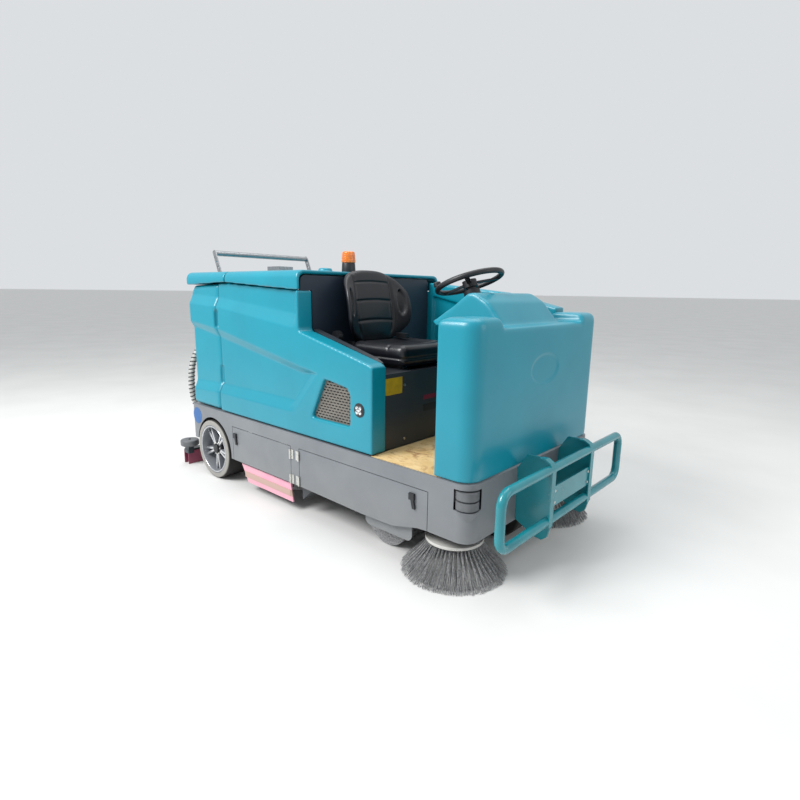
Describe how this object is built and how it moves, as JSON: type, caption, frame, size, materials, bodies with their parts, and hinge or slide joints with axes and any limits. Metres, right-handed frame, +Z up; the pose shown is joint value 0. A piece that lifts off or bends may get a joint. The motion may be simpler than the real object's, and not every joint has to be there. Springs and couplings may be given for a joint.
{
  "type": "ride-on sweeper scrubber",
  "caption": "Ride-on floor cleaning machine with side brooms, main broom, scrub deck and rear squeegee under moulded covers, with an open driver's cab.",
  "frame": {"origin": "on the floor, under the middle of the bounding box", "axes": "+X driving direction, +Y driver's left, +Z up"},
  "size_m": [3, 1.546, 1.68],
  "materials": {
    "body_grey": "powder coated, satin",
    "teal_shell": "rotomoulded polyethylene, satin gloss",
    "teal_steel": "painted tube and plate",
    "dark_steel": "powder coated dark grey",
    "dark_panel": "grained moulded plastic",
    "tyre_black": "solid rubber",
    "rim_grey": "painted cast wheel",
    "bristle_grey": "nylon bristles",
    "disc_grey": "moulded plastic",
    "roller_grey": "moulded polyurethane",
    "galvanised": "zinc plated",
    "black_plastic": "moulded plastic",
    "seat_vinyl": "PVC on moulded foam",
    "mat_beige": "bare board, stained",
    "skirt_pink": "polyurethane",
    "blade_red": "polyurethane",
    "hose_grey": "ribbed hose",
    "tank_plastic": "rotomoulded",
    "battery_case": "moulded case",
    "beacon_amber": "moulded lens on a black base",
    "signal_red": "moulded"
  },
  "bodies": {
    "chassis": {"chassis_frame": "body_grey", "door_hinges": "galvanised", "debris_hopper": "dark_steel", "side_shell_right": "teal_shell", "side_grille": "dark_steel", "side_shell_left": "teal_shell", "recovery_tank": "tank_plastic", "solution_tank": "tank_plastic", "service_panel": "dark_panel", "battery_pack": "battery_case", "seat_box": "dark_steel", "floor_mat": "mat_beige", "front_shell": "teal_shell", "dashboard_panel": "black_plastic", "steering_column": "black_plastic", "bumper_frame": "teal_steel", "fasteners": "galvanised", "squeegee_hose": "hose_grey"},
    "tank_lid": {"tank_lid": "teal_shell", "beacon": "beacon_amber"},
    "rear_lid": {"rear_lid": "teal_shell", "rear_rail": "galvanised"},
    "rear_side_door": {"rear_side_door": "teal_shell"},
    "door_front_right": {"door_front_right": "body_grey"},
    "door_rear_right": {"door_rear_right": "body_grey"},
    "door_left": {"door_left": "body_grey"},
    "latch_front_right": {"latch_front_right": "black_plastic"},
    "latch_rear_right": {"latch_rear_right": "black_plastic"},
    "latch_left": {"latch_left": "black_plastic"},
    "corner_roller_right": {"corner_roller_right": "roller_grey"},
    "corner_roller_left": {"corner_roller_left": "roller_grey"},
    "rear_wheel_right": {"rear_tyre_right": "tyre_black", "rear_rim_right": "rim_grey"},
    "rear_wheel_left": {"rear_tyre_left": "tyre_black", "rear_rim_left": "rim_grey"},
    "front_fork": {"front_fork": "dark_steel"},
    "drive_wheel": {"drive_wheel": "tyre_black"},
    "broom_arm_right": {"broom_arm_right": "dark_steel"},
    "broom_arm_left": {"broom_arm_left": "dark_steel"},
    "side_broom_right": {"broom_disc_right": "disc_grey", "broom_bristles_right": "bristle_grey"},
    "side_broom_left": {"broom_disc_left": "disc_grey", "broom_bristles_left": "bristle_grey"},
    "main_broom": {"main_broom": "bristle_grey"},
    "scrub_deck": {"scrub_deck": "dark_steel", "deck_skirts": "skirt_pink"},
    "scrub_brush_right": {"scrub_brush_right": "bristle_grey"},
    "scrub_brush_left": {"scrub_brush_left": "bristle_grey"},
    "squeegee": {"squeegee_frame": "dark_steel", "squeegee_blades": "blade_red"},
    "squeegee_roller_right": {"squeegee_roller_right": "roller_grey"},
    "squeegee_roller_left": {"squeegee_roller_left": "roller_grey"},
    "seat": {"seat_base": "black_plastic", "seat_cushion": "seat_vinyl"},
    "seat_back": {"seat_back": "seat_vinyl"},
    "steering_wheel": {"steering_wheel": "black_plastic"},
    "spinner_knob": {"spinner_knob": "black_plastic"},
    "emergency_stop": {"emergency_stop": "signal_red"},
    "accelerator_pedal": {"accelerator_pedal": "black_plastic"},
    "brake_pedal": {"brake_pedal": "black_plastic"}
  },
  "joints": [
    {"name": "steering_wheel_turn", "type": "hinge", "parent": "chassis", "child": "steering_wheel", "pos_m": [0.846, -0.07, 1.448], "axis": [-0.342, 0, 0.9397], "range_deg": [-540, 540]},
    {"name": "front_fork_steer", "type": "hinge", "parent": "chassis", "child": "front_fork", "pos_m": [1.05, 0, 0.456], "axis": [0, 0, 1], "range_deg": [-60, 60]},
    {"name": "spinner_knob_spin", "type": "hinge", "parent": "steering_wheel", "child": "spinner_knob", "pos_m": [0.68617, -0.13191, 1.38983], "axis": [-0.342, 0, 0.9397], "continuous": true},
    {"name": "drive_wheel_spin", "type": "hinge", "parent": "front_fork", "child": "drive_wheel", "pos_m": [1.05, 0, 0.19], "axis": [0, 1, 0], "continuous": true},
    {"name": "rear_wheel_right_spin", "type": "hinge", "parent": "chassis", "child": "rear_wheel_right", "pos_m": [-0.988, -0.568, 0.22], "axis": [0, 1, 0], "continuous": true},
    {"name": "corner_roller_right_spin", "type": "hinge", "parent": "chassis", "child": "corner_roller_right", "pos_m": [1.254, -0.608, 0.449], "axis": [0, 0, 1], "continuous": true},
    {"name": "broom_arm_right_lift", "type": "hinge", "parent": "chassis", "child": "broom_arm_right", "pos_m": [0.885, -0.47, 0.294], "axis": [0, -1, 0], "range_deg": [0, 8]},
    {"name": "side_broom_right_spin", "type": "hinge", "parent": "broom_arm_right", "child": "side_broom_right", "pos_m": [1.108, -0.493, 0.196], "axis": [0, 0, 1], "continuous": true},
    {"name": "scrub_brush_right_spin", "type": "hinge", "parent": "scrub_deck", "child": "scrub_brush_right", "pos_m": [-0.3515, -0.288, 0.176], "axis": [0, 0, 1], "continuous": true},
    {"name": "squeegee_roller_right_spin", "type": "hinge", "parent": "squeegee", "child": "squeegee_roller_right", "pos_m": [-1.418, -0.638, 0.18], "axis": [0, 0, 1], "continuous": true},
    {"name": "rear_wheel_left_spin", "type": "hinge", "parent": "chassis", "child": "rear_wheel_left", "pos_m": [-0.988, 0.568, 0.22], "axis": [0, 1, 0], "continuous": true},
    {"name": "corner_roller_left_spin", "type": "hinge", "parent": "chassis", "child": "corner_roller_left", "pos_m": [1.254, 0.608, 0.449], "axis": [0, 0, 1], "continuous": true},
    {"name": "broom_arm_left_lift", "type": "hinge", "parent": "chassis", "child": "broom_arm_left", "pos_m": [0.885, 0.47, 0.294], "axis": [0, -1, 0], "range_deg": [0, 8]},
    {"name": "side_broom_left_spin", "type": "hinge", "parent": "broom_arm_left", "child": "side_broom_left", "pos_m": [1.108, 0.493, 0.196], "axis": [0, 0, 1], "continuous": true},
    {"name": "scrub_brush_left_spin", "type": "hinge", "parent": "scrub_deck", "child": "scrub_brush_left", "pos_m": [-0.3515, 0.288, 0.176], "axis": [0, 0, 1], "continuous": true},
    {"name": "squeegee_roller_left_spin", "type": "hinge", "parent": "squeegee", "child": "squeegee_roller_left", "pos_m": [-1.418, 0.638, 0.18], "axis": [0, 0, 1], "continuous": true},
    {"name": "main_broom_spin", "type": "hinge", "parent": "chassis", "child": "main_broom", "pos_m": [0.69, 0, 0.149], "axis": [0, 1, 0], "continuous": true},
    {"name": "scrub_deck_lift", "type": "slide", "parent": "chassis", "child": "scrub_deck", "axis": [0, 0, 1], "range_m": [-0.055, 0]},
    {"name": "squeegee_lift", "type": "hinge", "parent": "chassis", "child": "squeegee", "pos_m": [-1.12, 0, 0.318], "axis": [0, 1, 0], "range_deg": [0, 8], "deforming": ["squeegee_hose"]},
    {"name": "tank_lid_open", "type": "hinge", "parent": "chassis", "child": "tank_lid", "pos_m": [-0.337, 0.654, 1.439], "axis": [-1, 0, 0], "range_deg": [0, 70]},
    {"name": "rear_lid_open", "type": "hinge", "parent": "chassis", "child": "rear_lid", "pos_m": [-1, 0.654, 1.439], "axis": [-1, 0, 0], "range_deg": [0, 70]},
    {"name": "rear_side_door_open", "type": "hinge", "parent": "chassis", "child": "rear_side_door", "pos_m": [-1.262, -0.546, 0.956], "axis": [0, 0, -1], "range_deg": [0, 55]},
    {"name": "door_front_right_open", "type": "hinge", "parent": "chassis", "child": "door_front_right", "pos_m": [0.044, -0.665, 0.316], "axis": [0, 0, -1], "range_deg": [0, 88]},
    {"name": "door_rear_right_open", "type": "hinge", "parent": "chassis", "child": "door_rear_right", "pos_m": [-0.04, -0.665, 0.316], "axis": [0, 0, 1], "range_deg": [0, 88]},
    {"name": "door_left_open", "type": "hinge", "parent": "chassis", "child": "door_left", "pos_m": [0.044, 0.665, 0.316], "axis": [0, 0, 1], "range_deg": [0, 110]},
    {"name": "latch_front_right_turn", "type": "hinge", "parent": "door_front_right", "child": "latch_front_right", "pos_m": [0.962, -0.658, 0.395], "axis": [0, 1, 0], "range_deg": [0, 90]},
    {"name": "latch_rear_right_turn", "type": "hinge", "parent": "door_rear_right", "child": "latch_rear_right", "pos_m": [-0.676, -0.658, 0.383], "axis": [0, 1, 0], "range_deg": [0, 90]},
    {"name": "latch_left_turn", "type": "hinge", "parent": "door_left", "child": "latch_left", "pos_m": [0.962, 0.658, 0.395], "axis": [0, -1, 0], "range_deg": [0, 90]},
    {"name": "seat_slide", "type": "slide", "parent": "chassis", "child": "seat", "axis": [1, 0, 0], "range_m": [0, 0.12]},
    {"name": "seat_back_recline", "type": "hinge", "parent": "seat", "child": "seat_back", "pos_m": [0.178, -0.13, 1.066], "axis": [0, 1, 0], "range_deg": [0, 20]},
    {"name": "emergency_stop_press", "type": "slide", "parent": "chassis", "child": "emergency_stop", "axis": [0.5349, 0, -0.8449], "range_m": [0, 0.005], "stiffness_N_per_m": 1200, "springref_m": -0.002},
    {"name": "accelerator_pedal_press", "type": "hinge", "parent": "chassis", "child": "accelerator_pedal", "pos_m": [0.905, -0.22, 0.562], "axis": [0, 1, 0], "range_deg": [0, 15], "stiffness_Nm_per_rad": 8, "springref_deg": -8.59},
    {"name": "brake_pedal_press", "type": "hinge", "parent": "chassis", "child": "brake_pedal", "pos_m": [0.905, 0.09, 0.562], "axis": [0, 1, 0], "range_deg": [0, 15], "stiffness_Nm_per_rad": 8, "springref_deg": -8.59}
  ],
  "couplings": [
    {"joint": "front_fork_steer", "follows": "steering_wheel_turn", "ratio": 0.11111}
  ]
}
